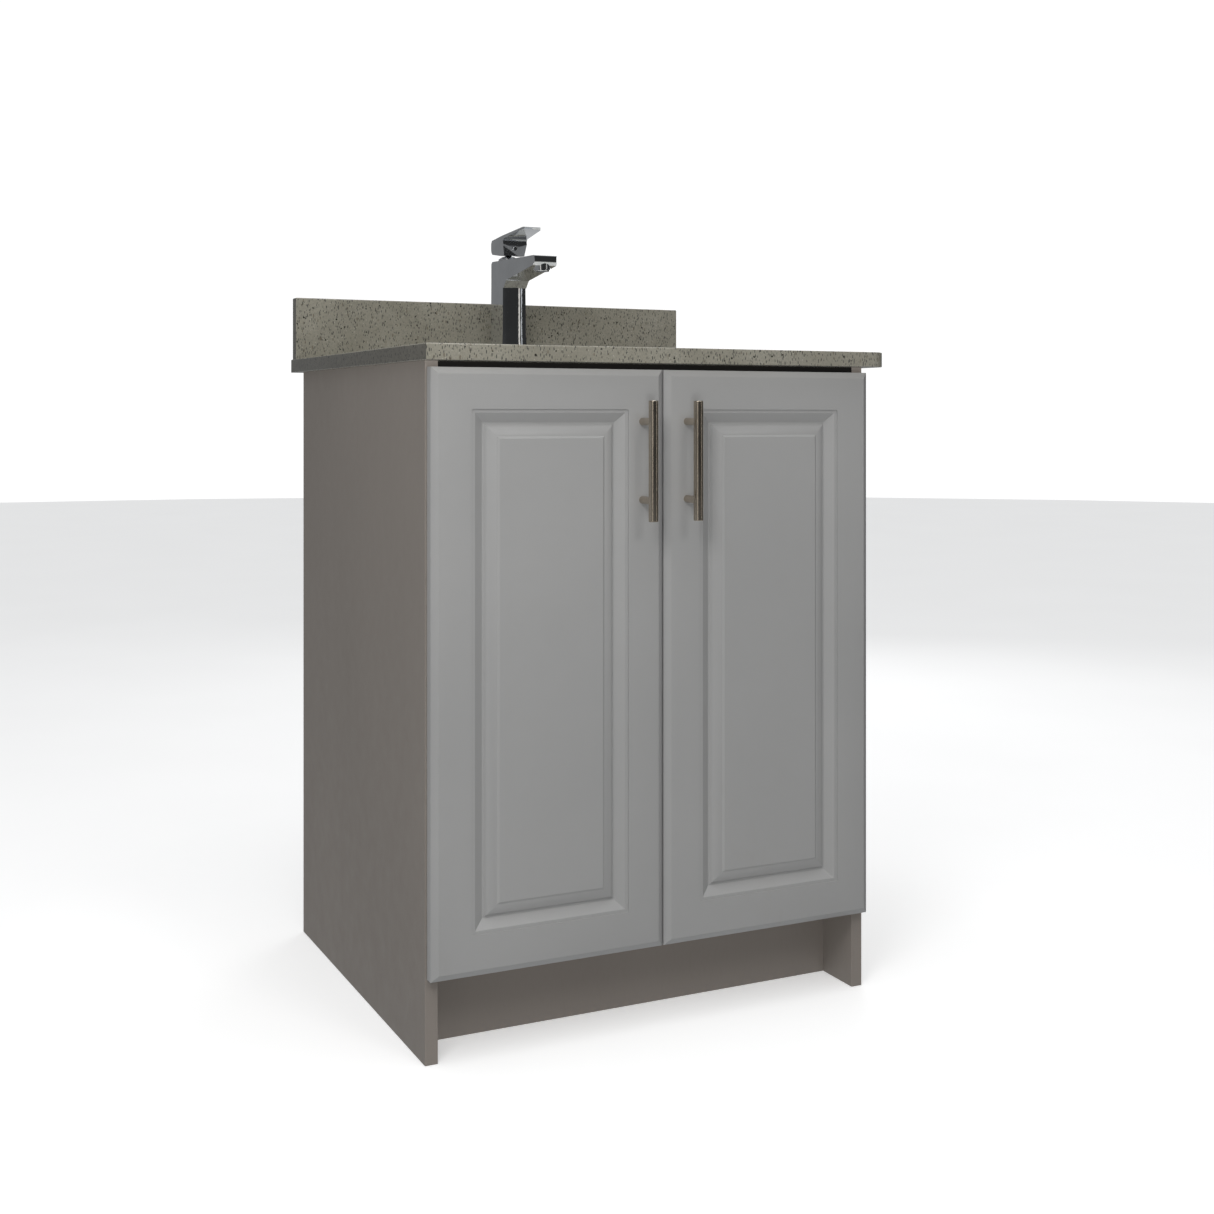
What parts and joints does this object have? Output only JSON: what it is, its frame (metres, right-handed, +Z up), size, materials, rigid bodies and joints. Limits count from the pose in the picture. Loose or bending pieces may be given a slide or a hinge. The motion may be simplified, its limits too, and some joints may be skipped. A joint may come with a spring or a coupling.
{
  "type": "bathroom vanity cabinet",
  "caption": "Bathroom vanity cabinet with raised-panel doors on concealed hinges, bar pulls, speckled stone top with backsplash, undermount basin and single-lever faucet",
  "frame": {"origin": "on the floor, below the centre of the whole object's box", "axes": "+X to the right as seen by someone facing the doors, +Y from the doors to the wall, +Z up"},
  "size_m": [0.6366, 0.6122, 1.0336],
  "materials": {
    "carcass_board": "satin",
    "edge_dark": "matte",
    "door_foil": "satin",
    "hardboard": "matte",
    "beech": "matte",
    "stone_top": "polished",
    "basin_ceramic": "glossy",
    "chrome": "polished",
    "brushed_nickel": "brushed",
    "zinc_steel": "satin",
    "brass": "satin",
    "white_plastic": "satin",
    "black_rubber": "matte",
    "silicone": "satin",
    "clear_silicone": "satin"
  },
  "bodies": {
    "cabinet": {"side_panel_left": "carcass_board", "side_panel_right": "carcass_board", "bottom_panel": "carcass_board", "top_front_rail": "edge_dark", "wall_rail": "carcass_board", "lower_rear_rail": "carcass_board", "back_panel": "hardboard", "toe_kick": "carcass_board", "shelf": "carcass_board", "shelf_pins": "zinc_steel", "cam_discs": "zinc_steel", "cam_bolts": "zinc_steel", "dowels": "beech", "countertop": "stone_top", "backsplash": "stone_top", "sink_basin": "basin_ceramic", "basin_sealant": "silicone", "sink_clips": "zinc_steel", "sink_clip_screws": "brass", "overflow_ring": "chrome", "drain_body": "chrome", "drain_gasket": "black_rubber", "drain_nut": "white_plastic", "drain_tailpiece": "chrome", "faucet_body": "chrome", "faucet_base_gasket": "black_rubber", "faucet_aerator": "chrome", "faucet_cartridge": "white_plastic", "cartridge_nut": "brass", "faucet_shank": "brass", "faucet_backing_washer": "zinc_steel", "faucet_shank_nut": "brass", "faucet_inlets": "brass", "hinge_plates_left": "zinc_steel", "hinge_plates_right": "zinc_steel", "hinge_plate_screws": "zinc_steel", "hinge_arms_left": "zinc_steel", "hinge_arms_right": "zinc_steel", "hinge_arm_screws": "zinc_steel"},
    "left_door": {"door_left": "door_foil", "handle_bar_left": "brushed_nickel", "handle_posts_left": "brushed_nickel", "handle_screws_left": "zinc_steel", "hinge_cups_left": "zinc_steel", "hinge_cup_screws_left": "zinc_steel", "door_bumpers_left": "clear_silicone"},
    "right_door": {"door_right": "door_foil", "handle_bar_right": "brushed_nickel", "handle_posts_right": "brushed_nickel", "handle_screws_right": "zinc_steel", "hinge_cups_right": "zinc_steel", "hinge_cup_screws_right": "zinc_steel", "door_bumpers_right": "clear_silicone"},
    "lever_carrier": {"cartridge_stem": "chrome", "lever_pivot_pin": "zinc_steel"},
    "lever": {"faucet_lever": "chrome", "lever_index_cap": "chrome", "lever_grub_screw": "zinc_steel"},
    "stopper": {"drain_stopper": "chrome"}
  },
  "joints": [
    {"name": "left_door_hinge", "type": "hinge", "parent": "cabinet", "child": "left_door", "pos_m": [-0.2985, -0.2676, 0.4565], "axis": [0, 0, -1], "range_deg": [0, 105]},
    {"name": "right_door_hinge", "type": "hinge", "parent": "cabinet", "child": "right_door", "pos_m": [0.2985, -0.2676, 0.4565], "axis": [0, 0, 1], "range_deg": [0, 105]},
    {"name": "lever_turn", "type": "hinge", "parent": "cabinet", "child": "lever_carrier", "pos_m": [0, 0.2399, 0.9986], "axis": [0, 0, 1], "range_deg": [-45, 45]},
    {"name": "lever_lift", "type": "hinge", "parent": "lever_carrier", "child": "lever", "pos_m": [0, 0.2399, 1.0046], "axis": [-1, 0, 0], "range_deg": [0, 18]},
    {"name": "stopper_lift", "type": "slide", "parent": "cabinet", "child": "stopper", "axis": [0, 0, 1], "range_m": [0, 0.008]}
  ]
}
